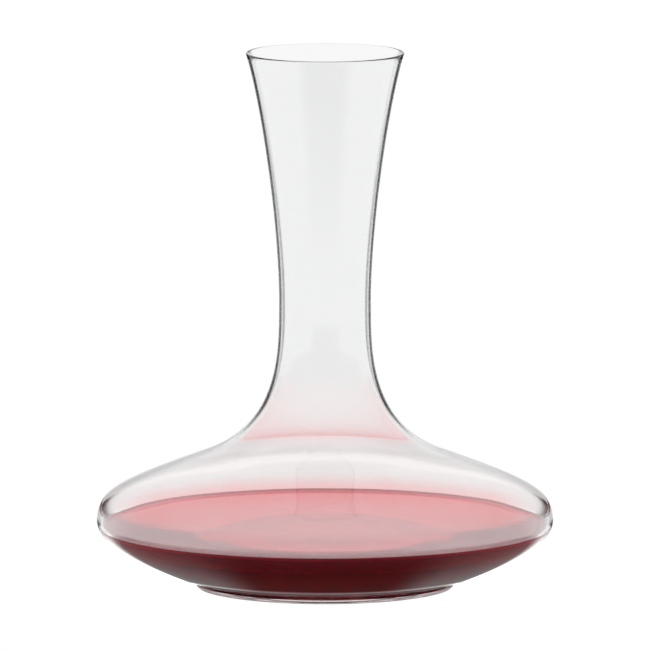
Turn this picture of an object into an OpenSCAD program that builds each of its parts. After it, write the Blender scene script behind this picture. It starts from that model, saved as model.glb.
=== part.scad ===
// Wine decanter: a blown glass vessel with a wide low bowl, a hollow-sided shoulder and a
// flared neck, standing on a thin pressed foot and part filled with red wine.
// Millimetres. The origin is the middle of the underside of the foot, and +Z is up.

/* [Overall] */
// Height from the table to the top of the lip
total_h = 250; // [225:1:290]
// Outside diameter of the bowl at its widest
bowl_d = 212.6; // [180:0.2:240]
// Height of the widest ring of the bowl above the table
bowl_z = 30.5; // [26:0.5:38]

/* [Shoulder] */
// Diameter where the shoulder turns from bulging to hollow
shoulder_d = 112.8; // [96:0.2:130]
// Height of that turning ring above the table
shoulder_z = 62.3; // [54:0.1:74]
// Slope of the shoulder at that ring, in degrees from level
shoulder_slope = 21; // [15:1:28]

/* [Neck] */
// Outside diameter at the narrowest part of the neck
waist_d = 42.8; // [36:0.2:56]
// Height of the narrowest part above the table
waist_z = 133.5; // [118:0.5:150]
// Outside diameter at the lip
mouth_d = 73.6; // [60:0.2:90]
// Steepness of the wall at the lip, in degrees from level
mouth_slope = 73; // [62:1:84]

/* [Underside of the bowl] */
// Slope of the bowl where it leaves the foot, in degrees from level
under_slope = 18.5; // [12:0.5:26]
// Step from the rim of the foot in to the glass of the bowl
seat_step = 0.4; // [0.2:0.1:1.5]

/* [Foot] */
// Diameter of the foot
foot_d = 121; // [100:0.5:135]
// Thickness of the foot
foot_h = 2.2; // [1.8:0.1:4]
// Rounding of the edge of the foot
foot_round = 0.7; // [0.3:0.1:0.9]
// Width of the flat ring that the decanter stands on
ring_w = 10; // [5:0.5:20]
// Height of the hollow under the middle of the foot
punt = 0.2; // [0.1:0.1:1.2]

/* [Glass thickness] */
// Over the middle of the foot
glass_floor = 4.4; // [3:0.1:8]
// Where the bowl leaves the foot
glass_heel = 3.5; // [2.5:0.1:5]
// At the widest ring of the bowl
glass_bowl = 2.2; // [1.2:0.1:3.5]
// At the turning ring of the shoulder
glass_shoulder = 1.4; // [1:0.1:3.5]
// At the waist of the neck
glass_waist = 1.5; // [1:0.1:3]
// At the lip
glass_lip = 1.2; // [0.8:0.1:2.5]

/* [Wine] */
// Height of the flat surface of the wine above the table
wine_z = 27.1; // [18:0.1:30]
// How far the wine climbs the glass at its edge
climb_h = 1.3; // [1:0.1:3]
// Width of the curved edge of the wine
climb_w = 4; // [4:0.5:12]

/* [Curve fullness] */
// Each pair says how far the curve follows its end directions, as a share of the straight
// line between the two rings. Foot to bowl, at the foot
heel_pull = 0.33; // [0.2:0.01:0.5]
// Foot to bowl, at the widest ring
keel_pull = 0.21; // [0.15:0.01:0.5]
// Bowl to shoulder, at the widest ring
belly_pull = 0.21; // [0.15:0.01:0.5]
// Bowl to shoulder, at the turning ring
dome_pull = 0.79; // [0.4:0.01:0.9]
// Shoulder to waist, at the turning ring
sweep_pull = 0.48; // [0.3:0.01:0.6]
// Shoulder to waist, at the waist
throat_pull = 0.31; // [0.2:0.01:0.5]
// Waist to lip, at the waist
flare_pull = 0.29; // [0.2:0.01:0.5]
// Waist to lip, at the lip
lip_pull = 0.22; // [0.15:0.01:0.5]

/* [Hidden] */
$fn = 96;

curve_steps = 14;      // straight pieces in each stretch of the wall
floor_steps = 8;       // in the floor inside the bowl
lip_steps = 8;         // round the lip
edge_steps = 5;        // round each edge of the foot
punt_steps = 8;        // across half of the hollow under the foot
climb_steps = 8;       // up the curved edge of the wine
climb_tilt = 8;        // angle in degrees at which the wine leaves the glass

foot_r = foot_d / 2;
seat_r = foot_r - seat_step;
lip_r = glass_lip / 2;
climb_z = wine_z + climb_h;

// Rings of the outside wall, from the foot up: [radius, height, direction of the wall, glass]
rings = [
    [seat_r, foot_h, under_slope, glass_heel],
    [bowl_d / 2, bowl_z, 90, glass_bowl],
    [shoulder_d / 2, shoulder_z, 180 - shoulder_slope, glass_shoulder],
    [waist_d / 2, waist_z, 90, glass_waist],
    [mouth_d / 2, total_h - lip_r * (1 + cos(mouth_slope)), mouth_slope, glass_lip],
];
// How far each stretch between two rings follows the lower ring, then the upper one
pulls = [
    [heel_pull, keel_pull],
    [belly_pull, dome_pull],
    [sweep_pull, throat_pull],
    [flare_pull, lip_pull],
];

function place(ring) = [ring[0], ring[1]];
function heading(angle) = [cos(angle), sin(angle)];
function unit(v) = v / norm(v);
function turned(v, angle) =
    [v[0] * cos(angle) - v[1] * sin(angle), v[0] * sin(angle) + v[1] * cos(angle)];
function ease(t) = t * t * (3 - 2 * t);
function mix(a, b, t) = a + (b - a) * t;

// A cubic curve through four control points, and its direction
function curve(c, t) =
    pow(1 - t, 3) * c[0] + 3 * t * pow(1 - t, 2) * c[1]
    + 3 * t * t * (1 - t) * c[2] + pow(t, 3) * c[3];
function curve_dir(c, t) =
    unit(pow(1 - t, 2) * (c[1] - c[0]) + 2 * t * (1 - t) * (c[2] - c[1]) + t * t * (c[3] - c[2]));

// Control points of the stretch from ring i to ring i + 1
function stretch(i) =
    let (
        low = place(rings[i]),
        high = place(rings[i + 1]),
        span = norm(high - low)
    )
    [
        low,
        low + heading(rings[i][2]) * span * pulls[i][0],
        high - heading(rings[i + 1][2]) * span * pulls[i][1],
        high,
    ];

// A point of the wall at t along stretch i, sunk from the outside by a share of the glass
function wall_point(i, t, sunk) =
    let (
        c = stretch(i),
        d = curve_dir(c, t),
        glass = mix(rings[i][3], rings[i + 1][3], ease(t))
    )
    curve(c, t) + [-d[1], d[0]] * glass * sunk;

function wall(sunk) = [
    for (i = [0 : len(pulls) - 1]) for (k = [0 : curve_steps - 1]) wall_point(i, k / curve_steps, sunk),
    wall_point(len(pulls) - 1, 1, sunk),
];

// The lip, a half round from the outside wall over to the inside wall
lip_dir = heading(mouth_slope);
lip_mid = wall_point(len(pulls) - 1, 1, 0.5);
lip = [
    for (k = [1 : lip_steps - 1])
        let (a = 180 * k / lip_steps)
        lip_mid + lip_r * (cos(a) * [lip_dir[1], -lip_dir[0]] + sin(a) * lip_dir),
];

// The floor inside the bowl, from the axis out to the start of the inside wall
floor_end = wall_point(0, 0, 1);
floor_mid = [0, foot_h + glass_floor];
floor_curve = [
    floor_mid,
    [floor_end[0] * 0.4, floor_mid[1]],
    floor_end - heading(under_slope) * floor_end[0] * 0.2,
    floor_end,
];
floor_line = [for (k = [0 : floor_steps - 1]) curve(floor_curve, k / floor_steps)];

// Inside of the glass from the axis up to the lip
inside = concat(floor_line, wall(1));

function reversed(list) = [for (k = [len(list) - 1 : -1 : 0]) list[k]];
// Points of a rising line that are under height z, closed by the point where it reaches z
function cut_at(line, z) =
    let (
        under = [for (p = line) if (p[1] < z) p],
        a = line[len(under) - 1],
        b = line[len(under)]
    )
    concat(under, [mix(a, b, (z - a[1]) / (b[1] - a[1]))]);

// Points of a quarter circle about a middle, from one angle to another
function corner(mid, r, from, to) = [
    for (k = [0 : edge_steps]) mid + r * heading(mix(from, to, k / edge_steps)),
];

module vessel() {
    color([0.86, 0.9, 0.91, 0.4])
        rotate_extrude()
            polygon(concat([[0, foot_h]], wall(0), lip, reversed(inside)));
}

module foot() {
    ring_in = foot_r - ring_w;
    hollow = [
        for (k = [0 : punt_steps])
            let (r = ring_in * k / punt_steps)
            [r, punt * (1 - pow(r / ring_in, 2))],
    ];
    low_edge = corner([foot_r - foot_round, foot_round], foot_round, -90, 0);
    high_edge = corner([foot_r - foot_round, foot_h - foot_round], foot_round, 0, 90);
    color([0.8, 0.85, 0.87, 0.5])
        rotate_extrude()
            polygon(concat(hollow, low_edge, high_edge, [[0, foot_h]]));
}

module wine() {
    bath = cut_at(inside, climb_z);
    edge = bath[len(bath) - 1];
    up_wall = unit(edge - bath[len(bath) - 2]);
    climb = [
        edge,
        edge - turned(up_wall, -climb_tilt) * 0.6 * climb_h,
        [edge[0] - 0.35 * climb_w, wine_z],
        [edge[0] - climb_w, wine_z],
    ];
    surface = [for (k = [1 : climb_steps]) curve(climb, k / climb_steps)];
    color([0.45, 0.03, 0.1, 0.85])
        rotate_extrude()
            polygon(concat(bath, surface, [[0, wine_z]]));
}

vessel();
foot();
wine();
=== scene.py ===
import math

import bpy
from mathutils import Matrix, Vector


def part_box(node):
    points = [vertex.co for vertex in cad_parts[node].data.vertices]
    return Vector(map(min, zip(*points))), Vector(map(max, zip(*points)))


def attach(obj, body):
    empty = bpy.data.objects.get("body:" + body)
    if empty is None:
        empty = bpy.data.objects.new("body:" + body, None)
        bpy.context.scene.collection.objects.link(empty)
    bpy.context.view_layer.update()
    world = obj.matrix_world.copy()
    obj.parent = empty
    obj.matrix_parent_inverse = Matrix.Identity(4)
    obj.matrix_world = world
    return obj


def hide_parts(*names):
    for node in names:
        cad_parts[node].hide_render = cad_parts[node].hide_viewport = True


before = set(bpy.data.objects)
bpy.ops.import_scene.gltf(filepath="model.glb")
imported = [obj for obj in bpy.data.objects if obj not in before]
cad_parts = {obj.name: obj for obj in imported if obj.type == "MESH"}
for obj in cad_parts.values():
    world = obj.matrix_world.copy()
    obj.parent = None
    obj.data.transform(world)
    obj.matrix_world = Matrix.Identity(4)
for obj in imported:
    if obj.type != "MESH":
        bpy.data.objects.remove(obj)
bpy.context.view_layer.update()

bl_info = {
    "name": "Wine decanter",
    "version": (1, 0, 0),
    "blender": (4, 5, 0),
    "location": "View3D > Sidebar > Decanter",
    "description": "Builds a blown glass wine decanter, part filled with red wine, on a light table",
    "category": "Object",
}

VESSEL_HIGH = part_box("vessel")[1]
FOOT_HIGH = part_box("foot")[1]
WINE_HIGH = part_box("wine")[1]
MM = 0.001

# How finely each outline is drawn
WALL_STEPS = 32
FLOOR_STEPS = 16
LIP_STEPS = 12
EDGE_STEPS = 8
CLIMB_STEPS = 16
SPIN_STEPS = 256

# Gaps that keep two clear skins from lying in one another, and how far in from the heel the joint ends
JOINT_GAP = 0.03 * MM
WINE_GAP = 0.01 * MM
JOINT_INSET = 0.2 * MM

# The table: its radius, and how far it lies under the foot
TABLE_REACH = 30
TABLE_GAP = 0.2 * MM

# Points closer than this are one point, and a crease sharper than this stays sharp
MERGE_GAP = 0.0005 * MM
SHARP_FROM = math.radians(50)

# Bubbles lie a little flat, and come in four sizes, each smaller than the last by this share
BUBBLE_FLATNESS = 0.82
BUBBLE_SHRINK = 0.12

# A face whose normal stands this near to upright is level
LEVEL = 0.995

# How far above the edge of the wine the pink tint on the inside glass reaches, and the glass that can
# carry it
TINT_REACH = 13 * MM
TINT_GLASS = 16 * MM

# Painted shade: the glass colour is darkened where the glass is seen along its surface, as a dark
# outline: where that starts and where it is full. The lip is left without it: how far below its top the
# painted shade starts, and where it is whole
GRAZING = (0.77, 0.9)
LIP_CLEAR = 1.0 * MM
LIP_FADED = 3.5 * MM

# Bending of light by the glass, by the wine and by the thin skin of a bubble, and none at all
GLASS_INDEX = 1.47
WINE_INDEX = 1.34
BUBBLE_INDEX = 1.12
STRAIGHT_ON = 1.0

# The two dark flags beside the backdrop, in degrees from straight behind the decanter: where each
# starts, where it is full, where it begins to fade and where it ends
SIDE_FLAG = (12, 15, 31, 35)


def length(name, description, default):
    return bpy.props.FloatProperty(
        name=name, description=description, default=default, min=0, unit="LENGTH"
    )


def angle(name, description, degrees):
    return bpy.props.FloatProperty(
        name=name, description=description, default=math.radians(degrees), subtype="ANGLE"
    )


def share(name, description, default, top=1):
    return bpy.props.FloatProperty(name=name, description=description, default=default, min=0, max=top)


def colour(name, description, default):
    return bpy.props.FloatVectorProperty(
        name=name, description=description, default=default, min=0, max=1, subtype="COLOR"
    )


class DecanterSizes(bpy.types.PropertyGroup):
    """Sizes of the glass and of the wine in it"""

    height: length("Height", "Table to the top of the lip", VESSEL_HIGH.z)
    bowl: length("Bowl", "Outside radius of the bowl at its widest", VESSEL_HIGH.x)
    bowl_level: length("Bowl level", "Height of the widest ring of the bowl", 30.5 * MM)
    shoulder: length("Shoulder", "Radius where the shoulder turns hollow", 56.4 * MM)
    shoulder_level: length("Shoulder level", "Height of that turning ring", 62.3 * MM)
    shoulder_slope: angle("Shoulder slope", "Slope of the shoulder at that ring", 21)
    waist: length("Waist", "Outside radius of the neck at its narrowest", 21.4 * MM)
    waist_level: length("Waist level", "Height of the narrowest ring", 133.5 * MM)
    mouth: length("Mouth", "Outside radius of the neck at the lip", 36.8 * MM)
    mouth_slope: angle("Mouth slope", "Steepness of the wall at the lip", 73)
    under_slope: angle("Under slope", "Slope of the bowl where it leaves the foot", 18.5)
    seat_step: length("Seat step", "Step from the rim of the foot in to the bowl", 0.4 * MM)
    foot: length("Foot", "Radius of the foot", FOOT_HIGH.x)
    foot_height: length("Foot height", "Thickness of the foot", FOOT_HIGH.z)
    foot_round: length("Foot rounding", "Rounding of the edge of the foot", 0.7 * MM)
    foot_ring: length("Foot ring", "Width of the flat ring that stands on the table", 10 * MM)
    foot_hollow: length("Foot hollow", "Height of the hollow under the foot", 0.2 * MM)
    glass_floor: length("Glass, floor", "Glass over the middle of the foot", 4.4 * MM)
    glass_heel: length("Glass, heel", "Glass where the bowl leaves the foot", 3.5 * MM)
    glass_bowl: length("Glass, bowl", "Glass at the widest ring", 2.2 * MM)
    glass_shoulder: length("Glass, shoulder", "Glass at the turning ring", 1.4 * MM)
    glass_waist: length("Glass, waist", "Glass at the waist of the neck", 1.5 * MM)
    glass_lip: length("Glass, lip", "Glass at the lip", 1.2 * MM)
    climb_height: length("Climb", "How far the wine climbs the glass", 1.3 * MM)
    climb_width: length("Climb width", "Width of the curved edge of the wine", 4 * MM)
    climb_tilt: angle("Climb tilt", "Angle at which the wine leaves the glass", 8)
    wine_edge: length("Wine edge", "Height of the line where the wine meets the glass", WINE_HIGH.z)
    heel_pull: share("Heel fullness", "Foot to bowl, at the foot", 0.33)
    keel_pull: share("Keel fullness", "Foot to bowl, at the widest ring", 0.21)
    belly_pull: share("Belly fullness", "Bowl to shoulder, at the widest ring", 0.21)
    dome_pull: share("Dome fullness", "Bowl to shoulder, at the turning ring", 0.79)
    sweep_pull: share("Sweep fullness", "Shoulder to waist, at the turning ring", 0.48)
    throat_pull: share("Throat fullness", "Shoulder to waist, at the waist", 0.31)
    flare_pull: share("Flare fullness", "Waist to lip, at the waist", 0.29)
    lip_pull: share("Lip fullness", "Waist to lip, at the lip", 0.22)
    bubble: length("Bubble", "Radius of the largest bubble at the edge of the wine", 0.55 * MM)


class DecanterLooks(bpy.types.PropertyGroup):
    """Colours of the glass and the wine, and strengths of the light"""

    clear_glass: colour("Clear glass", "Glass between its faint streaks", (0.935, 0.935, 0.935))
    streak_glass: colour("Streaks", "Glass in its faint streaks", (0.925, 0.93, 0.93))
    joint: colour("Joint", "Light that gets through the joint of foot and bowl", (0.74, 0.70, 0.70))
    joint_haze: colour("Joint haze", "The same, in its hazy patches", (0.68, 0.64, 0.64))
    # The glass-edge colour is painted shade: the dark the glass is given where it is seen along its
    # surface
    painted_edge_shade: colour("Painted edge shade", "Painted shade where the glass is seen along its surface", (0.16, 0.16, 0.165))
    # The pink given to the inside glass just above the edge of the wine, toward the back
    rear_tint: colour("Rear tint", "Pink on the inside glass above the edge of the wine, toward the back", (0.93, 0.28, 0.29))
    wine_skin: colour("Wine skin", "Light that the surface of the wine scatters", (0.98, 0.38, 0.43))
    skin_cloud: colour("Skin clouds", "The same, in its soft clouds", (0.97, 0.32, 0.38))
    wine_haze: colour("Wine haze", "Light that the wine scatters behind the glass", (0.95, 0.17, 0.24))
    haze_cloud: colour("Haze clouds", "The same, in its soft clouds", (0.92, 0.13, 0.20))
    bubble: colour("Bubble", "The skin of a bubble", (1.0, 0.97, 0.97))
    bubble_swirl: colour("Bubble swirl", "The same, where wine swirls in it", (1.0, 0.86, 0.88))
    skin_clear: share("Skin clearness", "Share of light that the surface of the wine lets in", 0.76)
    haze_clear: share("Haze clearness", "Share of light that the wine lets in behind the glass", 0.8)
    wine: colour("Wine", "What the wine lets through", (0.83, 0.15, 0.28))
    wine_depth: bpy.props.FloatProperty(
        name="Wine depth", description="How strongly the wine takes up light", default=85, min=0
    )
    flag: share("Side flags", "Light left where the side flags stand", 0.05)
    bowl_flag: share("Bowl flags", "Light left on the table beside the bowl, toward the back", 0.15)
    # Beside: painted shadow of the decanter on the table
    beside: share("Beside", "Light left on the table close beside the bowl", 0.16)
    front: share("Front", "Light left on the table in front of the decanter", 0.12)
    # Under the foot ring: painted shadow of the foot on the table
    under_ring: share("Under the foot ring", "Light left under the front of the foot's ring", 0.08)
    # Glow and foot glow: painted pool of light on the table near and under the foot
    glow: share("Glow", "Light of the table close to the foot", 1.8, 4)
    foot_glow: share("Foot glow", "Light added under the foot, as a share", 0.45)


class Wire:
    """A number in a material: arithmetic on it adds Math nodes."""

    def __init__(self, desk, socket):
        self.desk = desk
        self.socket = socket

    def maths(self, operation, *terms):
        return self.desk.node("ShaderNodeMath", {"operation": operation}, dict(enumerate(terms)))

    def __add__(self, other):
        return self.maths("ADD", self, other)

    def __radd__(self, other):
        return self.maths("ADD", other, self)

    def __sub__(self, other):
        return self.maths("SUBTRACT", self, other)

    def __rsub__(self, other):
        return self.maths("SUBTRACT", other, self)

    def __mul__(self, other):
        return self.maths("MULTIPLY", self, other)

    def __rmul__(self, other):
        return self.maths("MULTIPLY", other, self)


class Desk:
    """The node tree of a material or a world: node() adds any node and gives one of its outputs."""

    def __init__(self, owner):
        owner.use_nodes = True
        self.tree = owner.node_tree
        self.tree.nodes.clear()

    def feed(self, socket, value):
        if isinstance(value, Wire):
            self.tree.links.new(value.socket, socket)
        elif isinstance(value, (tuple, list)) and len(value) == 3 and len(socket.default_value) == 4:
            socket.default_value = (*value, 1)
        else:
            socket.default_value = value

    def node(self, kind, settings=None, inputs=None, output=0):
        made = self.tree.nodes.new(kind)
        for name, value in (settings or {}).items():
            setattr(made, name, value)
        for name, value in (inputs or {}).items():
            self.feed(made.inputs[name], value)
        return Wire(self, made.outputs[output])

    def place(self):
        """Where a point of the piece is: its three coordinates"""
        return self.node("ShaderNodeTexCoord", output="Object")

    def split(self, vector):
        axes = self.node("ShaderNodeSeparateXYZ", inputs={0: vector})
        return [Wire(self, axes.socket.node.outputs[name]) for name in "XYZ"]

    def soft_step(self, value, start, end):
        """0 before start, 1 after end, easing between them"""
        return self.node(
            "ShaderNodeMapRange",
            {"interpolation_type": "SMOOTHSTEP"},
            {"Value": value, "From Min": start, "From Max": end},
        )

    def band(self, value, rise_from, rise_to, fall_from, fall_to):
        """1 between rise_to and fall_from, easing down to 0 on both sides"""
        return self.soft_step(value, rise_from, rise_to) * self.soft_step(value, fall_to, fall_from)

    def blend(self, amount, low, high):
        """The colour low, changing to the colour high as amount goes from 0 to 1"""
        return self.node("ShaderNodeMix", {"data_type": "RGBA"}, {0: amount, 6: low, 7: high}, output=2)

    def noise(self, size, detail=2, stretch=(1, 1, 1), distortion=0):
        """Soft patches of about this size, stretched along each axis"""
        spot = self.node("ShaderNodeMapping", inputs={"Vector": self.place(), "Scale": stretch})
        return self.node(
            "ShaderNodeTexNoise",
            inputs={"Vector": spot, "Scale": 1 / size, "Detail": detail, "Distortion": distortion},
        )

    def bump(self, height, depth, strength):
        inputs = {"Height": height, "Distance": depth, "Strength": strength}
        return self.node("ShaderNodeBump", inputs=inputs, output="Normal")

    def finish(self, surface, volume=None, kind="ShaderNodeOutputMaterial"):
        made = self.tree.nodes.new(kind)
        self.feed(made.inputs["Surface"], surface)
        if volume:
            self.feed(made.inputs["Volume"], volume)


def new_material(name):
    material = bpy.data.materials.new(name)
    return material, Desk(material)


def clear_body(desk, index, tint, normal=None, clearness=1.0):
    """A surface that lets light through, bent by its index"""
    inputs = {"Base Color": tint, "Roughness": 0.0, "IOR": index, "Transmission Weight": clearness}
    if normal:
        inputs["Normal"] = normal
    return desk.node("ShaderNodeBsdfPrincipled", inputs=inputs)


def streaked_glass(desk, looks):
    """Clear glass with faint streaks drawn out round the vessel"""
    streaks = desk.noise(size=35 * MM, detail=3, stretch=(1, 1, 3.5), distortion=0.6)
    return desk.blend(streaks, tuple(looks.clear_glass), tuple(looks.streak_glass))


def glass_tint_with_edge_shade(desk, looks):
    """Streaked glass, with painted shade darkening it where it is seen along its surface, but not at the
    thin lip
    """
    x, y, z = desk.split(desk.place())
    below_lip = desk.soft_step(z, VESSEL_HIGH.z - LIP_CLEAR, VESSEL_HIGH.z - LIP_FADED)
    body = streaked_glass(desk, looks)
    # Painted shade: the glass is darkened toward the edge colour where it is seen along its surface
    grazing = desk.node("ShaderNodeLayerWeight", inputs={"Blend": 0.5}, output="Facing")
    edge_shade_mask = desk.soft_step(grazing, *GRAZING)
    return desk.blend(edge_shade_mask * below_lip, body, tuple(looks.painted_edge_shade))


def blown_waves(desk):
    """The slight waviness that blowing leaves in the wall"""
    return desk.bump(desk.noise(size=45 * MM, detail=1), depth=0.3 * MM, strength=0.25)


def glass_material(name, looks):
    """Glass with air on its other side"""
    material, desk = new_material(name)
    desk.finish(clear_body(desk, GLASS_INDEX, glass_tint_with_edge_shade(desk, looks), blown_waves(desk)))
    return material


def wet_material(looks):
    """Glass with wine behind it"""
    material, desk = new_material("glass under wine")
    desk.finish(clear_body(desk, GLASS_INDEX / WINE_INDEX, streaked_glass(desk, looks)))
    return material


def rear_tint_material(looks, edge_height):
    """Inside glass just above the wine, tinted pink toward the back, the tint fading upward from the
    wine's edge with a ragged line
    """
    material, desk = new_material("glass tinted pink above the wine")
    x, y, z = desk.split(desk.place())
    ragged = desk.noise(size=12 * MM, detail=3, stretch=(1, 1, 0.3)) * (2.5 * MM)
    # Pink tint, full at the wine's edge and toward the back, fading upward and toward the front
    fading = desk.soft_step(z + ragged, edge_height + TINT_REACH, edge_height)
    back = desk.soft_step(y, 20 * MM, 70 * MM)
    tint = desk.blend(fading * back, glass_tint_with_edge_shade(desk, looks), tuple(looks.rear_tint))
    desk.finish(clear_body(desk, GLASS_INDEX, tint))
    return material


def joint_material(looks):
    """Where the foot and the bowl are melted into one: light goes straight on, a little dimmed"""
    material, desk = new_material("melted joint")
    haze = desk.noise(size=6 * MM, detail=2)
    tint = desk.blend(haze, tuple(looks.joint), tuple(looks.joint_haze))
    desk.finish(clear_body(desk, STRAIGHT_ON, tint))
    return material


def wine_volume(desk, looks):
    return desk.node(
        "ShaderNodeVolumeAbsorption",
        inputs={"Color": tuple(looks.wine), "Density": looks.wine_depth},
    )


def wine_top_material(looks):
    """The open surface of the wine, with the least of ripples"""
    material, desk = new_material("wine surface")
    cloud = desk.noise(size=20 * MM, detail=2)
    tint = desk.blend(cloud, tuple(looks.wine_skin), tuple(looks.skin_cloud))
    ripple = desk.bump(desk.noise(size=30 * MM, detail=1), depth=0.05 * MM, strength=0.2)
    surface = clear_body(desk, WINE_INDEX, tint, ripple, looks.skin_clear)
    desk.finish(surface, wine_volume(desk, looks))
    return material


def wine_side_material(looks):
    """The wine against the glass"""
    material, desk = new_material("wine against glass")
    cloud = desk.noise(size=30 * MM, detail=2)
    tint = desk.blend(cloud, tuple(looks.wine_haze), tuple(looks.haze_cloud))
    surface = clear_body(desk, STRAIGHT_ON, tint, clearness=looks.haze_clear)
    desk.finish(surface, wine_volume(desk, looks))
    return material


def bubble_material(looks):
    """The thin skin of a bubble at the edge of the wine"""
    material, desk = new_material("bubble skin")
    swirl = desk.noise(size=0.8 * MM, detail=2)
    tint = desk.blend(swirl, tuple(looks.bubble), tuple(looks.bubble_swirl))
    desk.finish(clear_body(desk, BUBBLE_INDEX, tint))
    return material


def heading(turned):
    return Vector((math.cos(turned), math.sin(turned)))


def along(curve, t):
    """A point of a cubic curve through four control points"""
    s = 1 - t
    return curve[0] * s**3 + curve[1] * (3 * t * s**2) + curve[2] * (3 * t**2 * s) + curve[3] * t**3


def direction(curve, t):
    s = 1 - t
    start, middle, end = (curve[i + 1] - curve[i] for i in range(3))
    return (start * s**2 + middle * (2 * t * s) + end * t**2).normalized()


class Profile:
    """The outline of the decanter, worked out from its sizes; points are (radius, height)

    rings holds, from the foot up, each ring's place, the direction of the wall there and its glass.
    """

    def __init__(self, sizes):
        self.sizes = sizes
        lip_round = sizes.glass_lip / 2
        lip_level = sizes.height - lip_round * (1 + math.cos(sizes.mouth_slope))
        upright = math.pi / 2
        seat = Vector((sizes.foot - sizes.seat_step, sizes.foot_height))
        shoulder = Vector((sizes.shoulder, sizes.shoulder_level))
        self.rings = [
            (seat, sizes.under_slope, sizes.glass_heel),
            (Vector((sizes.bowl, sizes.bowl_level)), upright, sizes.glass_bowl),
            (shoulder, math.pi - sizes.shoulder_slope, sizes.glass_shoulder),
            (Vector((sizes.waist, sizes.waist_level)), upright, sizes.glass_waist),
            (Vector((sizes.mouth, lip_level)), sizes.mouth_slope, sizes.glass_lip),
        ]
        self.pulls = [
            (sizes.heel_pull, sizes.keel_pull),
            (sizes.belly_pull, sizes.dome_pull),
            (sizes.sweep_pull, sizes.throat_pull),
            (sizes.flare_pull, sizes.lip_pull),
        ]

    def stretch(self, i):
        low, low_way, _ = self.rings[i]
        high, high_way, _ = self.rings[i + 1]
        span = (high - low).length
        return [
            low,
            low + heading(low_way) * (span * self.pulls[i][0]),
            high - heading(high_way) * (span * self.pulls[i][1]),
            high,
        ]

    def wall_point(self, i, t, sunk):
        """A point of the wall, sunk from the outside by a share of the glass"""
        curve = self.stretch(i)
        way = direction(curve, t)
        eased = t * t * (3 - 2 * t)
        glass = self.rings[i][2] * (1 - eased) + self.rings[i + 1][2] * eased
        return along(curve, t) + Vector((-way.y, way.x)) * (glass * sunk)

    def wall(self, sunk):
        points = []
        for i in range(len(self.pulls)):
            points += [self.wall_point(i, k / WALL_STEPS, sunk) for k in range(WALL_STEPS)]
        return points + [self.wall_point(len(self.pulls) - 1, 1, sunk)]

    def lip(self):
        """The lip, a half round from the outside wall over to the inside wall"""
        sizes = self.sizes
        way = heading(sizes.mouth_slope)
        side = Vector((way.y, -way.x))
        middle = self.wall_point(len(self.pulls) - 1, 1, 0.5)
        radius = sizes.glass_lip / 2
        turns = [math.pi * k / LIP_STEPS for k in range(1, LIP_STEPS)]
        return [middle + (side * math.cos(a) + way * math.sin(a)) * radius for a in turns]

    def inside(self):
        """Inside of the glass, from the middle of the floor up to the lip"""
        sizes = self.sizes
        end = self.wall_point(0, 0, 1)
        middle = Vector((0, sizes.foot_height + sizes.glass_floor))
        curve = [
            middle,
            Vector((end.x * 0.4, middle.y)),
            end - heading(sizes.under_slope) * (end.x * 0.2),
            end,
        ]
        return [along(curve, k / FLOOR_STEPS) for k in range(FLOOR_STEPS)] + self.wall(1)

    def wine_line(self):
        """Inside of the glass up to the edge of the wine, with the edge as its last point"""
        line = self.inside()
        under = [point for point in line if point.y < self.sizes.wine_edge]
        low, high = under[-1], line[len(under)]
        return under + [low.lerp(high, (self.sizes.wine_edge - low.y) / (high.y - low.y))]

    def inside_with_edge(self):
        """Inside of the glass, with a point added where the edge of the wine lies on it"""
        under = self.wine_line()
        return under + self.inside()[len(under) - 1:]

    def wine_top(self):
        """The surface of the wine, from its edge on the glass to the axis"""
        sizes = self.sizes
        below, edge = self.wine_line()[-2:]
        rise = edge - below
        leave = math.atan2(rise.y, rise.x) - sizes.climb_tilt
        flat = sizes.wine_edge - sizes.climb_height
        curve = [
            edge,
            edge - heading(leave) * (0.6 * sizes.climb_height),
            Vector((edge.x - 0.35 * sizes.climb_width, flat)),
            Vector((edge.x - sizes.climb_width, flat)),
        ]
        return [along(curve, k / CLIMB_STEPS) for k in range(1, CLIMB_STEPS + 1)] + [Vector((0, flat))]


def corner(middle, radius, start, end):
    """Points of an arc about a middle, from one angle to another"""
    turns = [start + (end - start) * k / EDGE_STEPS for k in range(EDGE_STEPS + 1)]
    return [middle + heading(a) * radius for a in turns]


def deselect_all():
    for thing in bpy.context.selected_objects:
        thing.select_set(False)


def spun(name, outline):
    """A closed solid, spun about the upright axis from an outline that begins and ends on the axis"""
    deselect_all()
    bpy.ops.mesh.primitive_circle_add(vertices=len(outline), radius=VESSEL_HIGH.x, fill_type="NOTHING")
    piece = bpy.context.object
    piece.name = piece.data.name = name
    mesh = piece.data
    for vertex, point in zip(mesh.vertices, outline):
        vertex.co = (point.x, 0, point.y)
    for part in (mesh.vertices, mesh.edges):
        part.foreach_set("select", [False] * len(part))
    # The ring's last edge runs along the axis and is taken out
    ends = {0, len(outline) - 1}
    for edge in mesh.edges:
        edge.select = set(edge.vertices) == ends
    bpy.ops.object.mode_set(mode="EDIT")
    bpy.ops.mesh.select_mode(type="EDGE")
    bpy.ops.mesh.delete(type="EDGE")
    bpy.ops.mesh.select_mode(type="VERT")
    bpy.ops.mesh.select_all(action="SELECT")
    bpy.ops.mesh.spin(steps=SPIN_STEPS, angle=math.tau, center=(0, 0, 0), axis=(0, 0, 1))
    bpy.ops.mesh.select_all(action="SELECT")
    bpy.ops.mesh.remove_doubles(threshold=MERGE_GAP)
    bpy.ops.mesh.dissolve_degenerate(threshold=MERGE_GAP / 5)
    bpy.ops.mesh.select_all(action="SELECT")
    bpy.ops.mesh.normals_make_consistent(inside=False)
    bpy.ops.object.mode_set(mode="OBJECT")
    bpy.ops.object.shade_smooth_by_angle(angle=SHARP_FROM)
    return piece


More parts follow.
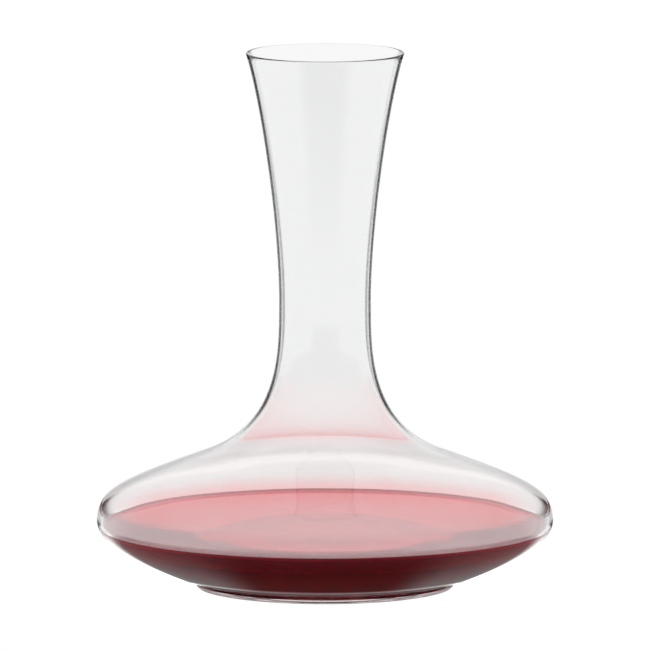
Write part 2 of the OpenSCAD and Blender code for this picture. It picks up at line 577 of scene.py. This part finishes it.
def dress(piece, materials, choose):
    """Give each face the material that choose picks from its centre and normal"""
    piece.data.materials.clear()
    for material in materials:
        piece.data.materials.append(material)
    for face in piece.data.polygons:
        face.material_index = choose(face.center, face.normal)


def settle(piece, node=None):
    """Tie a finished piece to the decanter's body and hide the CAD node that it stands in for"""
    if any(piece.location) or any(piece.rotation_euler):
        raise RuntimeError(piece.name + " is not at the origin")
    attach(piece, "root")
    if node:
        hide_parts(node)


class DECANTER_OT_vessel(bpy.types.Operator):
    """Blow the vessel: bowl, shoulder, neck and lip in one wall of clear glass"""

    bl_idname = "decanter.vessel"
    bl_label = "Vessel"

    def execute(self, context):
        sizes, looks = context.scene.decanter_sizes, context.scene.decanter_looks
        profile = Profile(sizes)
        outer = profile.wall(0)
        inner = profile.inside_with_edge()
        seat_level = sizes.foot_height + JOINT_GAP
        seat = [Vector((0, seat_level)), Vector((outer[0].x - JOINT_INSET, seat_level))]
        vessel = spun("vessel_glass", seat + outer + profile.lip() + list(reversed(inner)))
        clear, wet, rear_tint, joint = range(4)
        tint_top = sizes.wine_edge + TINT_GLASS

        def choose(centre, normal):
            if normal.z < -LEVEL and centre.z < seat_level + JOINT_GAP:
                return joint
            if centre.z < sizes.wine_edge and normal.z > 0:
                return wet
            faces_in = normal.xy.dot(centre.xy) < 0
            if faces_in and centre.z < tint_top and centre.xy.length > sizes.shoulder:
                return rear_tint
            return clear

        materials = [
            glass_material("blown glass", looks),
            wet_material(looks),
            rear_tint_material(looks, sizes.wine_edge),
            joint_material(looks),
        ]
        dress(vessel, materials, choose)
        settle(vessel, "vessel")
        return {"FINISHED"}


class DECANTER_OT_foot(bpy.types.Operator):
    """Press the foot: a thin round plate with rounded edges and a shallow hollow beneath"""

    bl_idname = "decanter.foot"
    bl_label = "Foot"

    def execute(self, context):
        sizes, looks = context.scene.decanter_sizes, context.scene.decanter_looks
        ring_in = sizes.foot - sizes.foot_ring
        shares = [k / FLOOR_STEPS for k in range(FLOOR_STEPS + 1)]
        hollow = [Vector((ring_in * s, sizes.foot_hollow * (1 - s * s))) for s in shares]
        rim = sizes.foot - sizes.foot_round
        quarter = math.pi / 2
        low_middle = Vector((rim, sizes.foot_round))
        high_middle = Vector((rim, sizes.foot_height - sizes.foot_round))
        low_edge = corner(low_middle, sizes.foot_round, -quarter, 0)
        high_edge = corner(high_middle, sizes.foot_round, 0, quarter)
        seat = Vector((sizes.foot - sizes.seat_step, sizes.foot_height))
        high_edge = [point for point in high_edge[1:] if point.x > seat.x] + [seat]
        foot = spun("foot_plate", hollow + low_edge + high_edge + [Vector((0, sizes.foot_height))])
        materials = [glass_material("pressed glass", looks), joint_material(looks)]
        dress(foot, materials, lambda centre, normal: int(normal.z > LEVEL))
        settle(foot, "foot")
        return {"FINISHED"}


class DECANTER_OT_wine(bpy.types.Operator):
    """Pour the wine: it fills the bowl to its level and climbs the glass a little at its edge"""

    bl_idname = "decanter.wine"
    bl_label = "Wine"

    def execute(self, context):
        sizes, looks = context.scene.decanter_sizes, context.scene.decanter_looks
        profile = Profile(sizes)
        line = profile.wine_line()
        side = [Vector((max(point.x - WINE_GAP, 0), point.y + WINE_GAP)) for point in line[:-1]]
        edge = line[-1] - Vector((WINE_GAP, 0))
        wine = spun("wine_fill", side + [edge] + profile.wine_top())
        materials = [wine_top_material(looks), wine_side_material(looks)]
        dress(wine, materials, lambda centre, normal: int(normal.z < 0))
        settle(wine, "wine")
        return {"FINISHED"}


class DECANTER_OT_bubbles(bpy.types.Operator):
    """Set the few small bubbles that cling to the glass at the edge of the wine"""

    bl_idname = "decanter.bubbles"
    bl_label = "Bubbles"

    def execute(self, context):
        sizes, looks = context.scene.decanter_sizes, context.scene.decanter_looks
        edge = Profile(sizes).wine_line()[-1]
        deselect_all()
        bpy.ops.mesh.primitive_uv_sphere_add(segments=16, ring_count=10, radius=sizes.bubble)
        first = bpy.context.object
        bpy.ops.object.mode_set(mode="EDIT")
        bpy.ops.mesh.select_all(action="SELECT")
        bpy.ops.transform.resize(value=(1, 1, BUBBLE_FLATNESS))
        bpy.ops.object.mode_set(mode="OBJECT")
        bpy.ops.object.shade_smooth()
        # Places round the edge: how far to the side of the axis, in front and then behind
        front = [-68, -39.5, 41, 68]
        back = [-52, -47, -12, 26, 31, 77]
        turns = [-math.acos(x * MM / edge.x) for x in front] + [math.acos(x * MM / edge.x) for x in back]
        pieces = [first]
        for turn in turns[1:]:
            copy = first.copy()
            copy.data = first.data.copy()
            context.collection.objects.link(copy)
            pieces.append(copy)
        for k, (piece, turn) in enumerate(zip(pieces, turns)):
            size = 1 - BUBBLE_SHRINK * (k % 4)
            reach = edge.x - sizes.bubble * size - 0.05 * MM
            level = edge.y + 0.15 * sizes.bubble
            piece.scale = (size, size, size)
            piece.location = (reach * math.cos(turn), reach * math.sin(turn), level)
            piece.select_set(True)
        context.view_layer.objects.active = first
        bpy.ops.object.transform_apply(location=True, rotation=True, scale=True)
        bpy.ops.object.join()
        first.name = first.data.name = "edge_bubbles"
        bpy.ops.object.transform_apply(location=True, rotation=True, scale=True)
        first.data.materials.clear()
        first.data.materials.append(bubble_material(looks))
        settle(first)
        return {"FINISHED"}


def dim(light, gate, left):
    """Take light away where the gate is open, down to what is left"""
    return light * (1 - gate * (1 - left))


def turned_from_back(x, y):
    """Angle from straight behind the decanter, the same to the left and to the right, in degrees"""
    return x.maths("ABSOLUTE", x.maths("ARCTAN2", x, y)) * math.degrees(1)


def table_light(desk, looks):
    """Light that the table sends into the glass: white, with soft dark flags at the sides and in front,
    a painted pool of light close to the foot, and painted shadow of the decanter close round the bowl
    and under the front of the foot's ring

    Angles are from straight behind, in degrees, and distances are from the axis, in metres.
    """
    x, y, z = desk.split(desk.node("ShaderNodeNewGeometry", output="Position"))
    turn = turned_from_back(x, y)
    reach = x.maths("SQRT", x * x + y * y)
    # Painted pool of light: the table is brighter close to the foot, and brighter still under it
    light = looks.glow + (1 - looks.glow) * desk.soft_step(reach, 0.12, 0.16)
    light = light * (1 + looks.foot_glow * desk.soft_step(reach, 0.062, 0.056))
    # Painted shadow of the decanter: the table is dimmed close round the bowl, from the sides to the
    # front
    beside = desk.soft_step(turn, 70, 92) * desk.band(reach, 0.06, 0.065, 0.2, 0.26)
    light = dim(light, beside, looks.beside)
    in_front = desk.soft_step(turn, 130, 155) * desk.band(reach, 0.06, 0.065, 0.4, 0.6)
    light = dim(light, in_front, looks.front)
    # Painted shadow of the foot: the table is dimmed under the front of the foot's ring
    under_ring = desk.soft_step(turn, 95, 115) * desk.band(reach, 0.047, 0.053, 0.061, 0.063)
    light = dim(light, under_ring, looks.under_ring)
    side_flags = desk.band(turn, *SIDE_FLAG) * desk.soft_step(reach, 0.5, 0.75)
    light = dim(light, side_flags, looks.flag)
    bowl_flags = desk.band(turn, 28, 33, 42, 48) * desk.band(reach, 0.14, 0.16, 0.25, 0.28)
    return dim(light, bowl_flags, looks.bowl_flag)


def surround_light(desk, looks):
    """Light from all round: white, with the side flags standing up from the table"""
    x, y, z = desk.split(desk.node("ShaderNodeTexCoord", output="Generated"))
    rise = x.maths("ARCSINE", z) * math.degrees(1)
    flags = desk.band(turned_from_back(x, y), *SIDE_FLAG) * desk.soft_step(rise, 12, 5)
    return 1 - flags * (1 - looks.flag)


class DECANTER_OT_stage(bpy.types.Operator):
    """Set the pale table, the soft light and the camera"""

    bl_idname = "decanter.stage"
    bl_label = "Stage"

    def execute(self, context):
        looks = context.scene.decanter_looks
        self.set_table(looks)
        self.set_surround(context.scene, looks)
        self.set_camera(context)
        self.set_quality(context.scene)
        return {"FINISHED"}

    def set_table(self, looks):
        """A wide round table, plain white to the camera"""
        deselect_all()
        bpy.ops.mesh.primitive_circle_add(
            vertices=128, radius=TABLE_REACH, fill_type="NGON", location=(0, 0, -TABLE_GAP)
        )
        table = bpy.context.object
        table.name = table.data.name = "pale_table"
        material, desk = new_material("lit table")
        seen = desk.node("ShaderNodeLightPath", output="Is Camera Ray")
        light = seen.maths("MAXIMUM", seen, table_light(desk, looks))
        desk.finish(desk.node("ShaderNodeEmission", inputs={"Strength": light}))
        table.data.materials.append(material)

    def set_surround(self, scene, looks):
        """A soft white surround, plain white to the camera"""
        world = bpy.data.worlds.new("soft surround")
        scene.world = world
        desk = Desk(world)
        seen = desk.node("ShaderNodeLightPath", output="Is Camera Ray")
        light = seen.maths("MAXIMUM", seen, surround_light(desk, looks))
        glow = desk.node("ShaderNodeBackground", inputs={"Color": (1, 1, 1), "Strength": light})
        desk.finish(glow, kind="ShaderNodeOutputWorld")

    def set_camera(self, context):
        """A long lens, a little above the table, that sees this width at the decanter"""
        distance = 7.5
        climb = math.radians(8.75)
        width_seen = 302.53 * MM
        aim = Vector((0, 0, 122.2 * MM))
        camera = bpy.data.cameras.new("camera")
        holder = bpy.data.objects.new("camera", camera)
        context.collection.objects.link(holder)
        holder.location = (0, -distance, distance * math.tan(climb))
        way = aim - holder.location
        holder.rotation_euler = way.to_track_quat("-Z", "Y").to_euler()
        camera.sensor_width = 36
        camera.lens = camera.sensor_width * way.length / width_seen
        camera.clip_end = 200
        camera.dof.use_dof = False
        context.scene.camera = holder

    def set_quality(self, scene):
        """Enough bounces for light to find its way through glass and wine"""
        scene.view_settings.view_transform = "Standard"
        scene.cycles.use_denoising = True
        scene.cycles.max_bounces = 40
        scene.cycles.transmission_bounces = 40
        scene.cycles.glossy_bounces = 24
        scene.cycles.transparent_max_bounces = 16
        scene.cycles.blur_glossy = 0
        scene.cycles.sample_clamp_indirect = 0


class DECANTER_PT_panel(bpy.types.Panel):
    """The decanter's steps and sizes"""

    bl_label = "Decanter"
    bl_idname = "DECANTER_PT_panel"
    bl_space_type = "VIEW_3D"
    bl_region_type = "UI"
    bl_category = "Decanter"

    def draw(self, context):
        for step in STEPS:
            self.layout.operator(step.bl_idname)
        for group in (context.scene.decanter_sizes, context.scene.decanter_looks):
            for name in group.bl_rna.properties.keys():
                if name not in ("rna_type", "name"):
                    self.layout.prop(group, name)


STEPS = (DECANTER_OT_vessel, DECANTER_OT_foot, DECANTER_OT_wine, DECANTER_OT_bubbles, DECANTER_OT_stage)
CLASSES = (DecanterSizes, DecanterLooks, *STEPS, DECANTER_PT_panel)


def register():
    for item in CLASSES:
        bpy.utils.register_class(item)
    bpy.types.Scene.decanter_sizes = bpy.props.PointerProperty(type=DecanterSizes)
    bpy.types.Scene.decanter_looks = bpy.props.PointerProperty(type=DecanterLooks)


def unregister():
    del bpy.types.Scene.decanter_looks
    del bpy.types.Scene.decanter_sizes
    for item in reversed(CLASSES):
        bpy.utils.unregister_class(item)


def main():
    register()
    bpy.ops.decanter.vessel()
    bpy.ops.decanter.foot()
    bpy.ops.decanter.wine()
    bpy.ops.decanter.bubbles()
    bpy.ops.decanter.stage()


if __name__ == "__main__":
    main()
